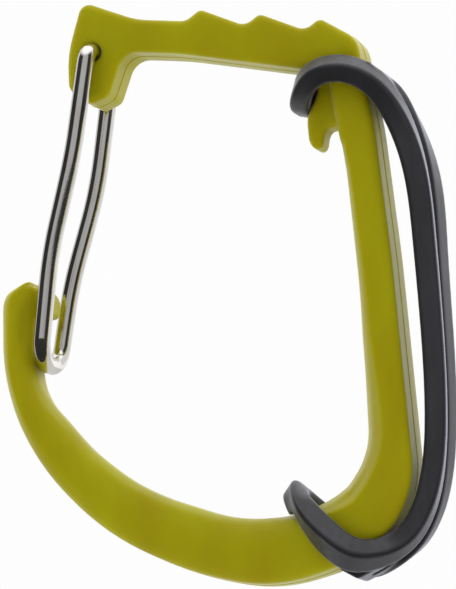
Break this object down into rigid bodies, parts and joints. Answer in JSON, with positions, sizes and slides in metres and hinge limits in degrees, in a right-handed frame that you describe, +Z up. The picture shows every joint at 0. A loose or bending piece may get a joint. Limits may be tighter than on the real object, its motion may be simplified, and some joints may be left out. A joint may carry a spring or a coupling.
{
  "type": "harness gear clip",
  "caption": "D-shaped moulded clip that holds climbing gear at a harness: toothed top bar, open basket, sprung wire gate, and a rubber keeper strap that grips the harness webbing.",
  "frame": {"origin": "middle of the whole clip's box, on the middle plane of the moulded frame", "axes": "+X from the gate towards the spine, +Z up along the spine, +Y through the thickness towards the far side"},
  "size_m": [0.0791, 0.0198, 0.102],
  "materials": {
    "frame_plastic": "satin, slightly translucent yellow-green",
    "gate_wire": "polished",
    "strap_rubber": "satin"
  },
  "bodies": {
    "frame": {"body": "frame_plastic", "keeper_strap": "strap_rubber"},
    "gate": {"wire_gate": "gate_wire"}
  },
  "joints": [
    {"name": "gate_hinge", "type": "hinge", "parent": "frame", "child": "gate", "pos_m": [-0.02315, 0, 0.04228], "axis": [0, -1, 0], "range_deg": [0, 32], "stiffness_Nm_per_rad": 0.25, "springref_deg": -11.46}
  ]
}
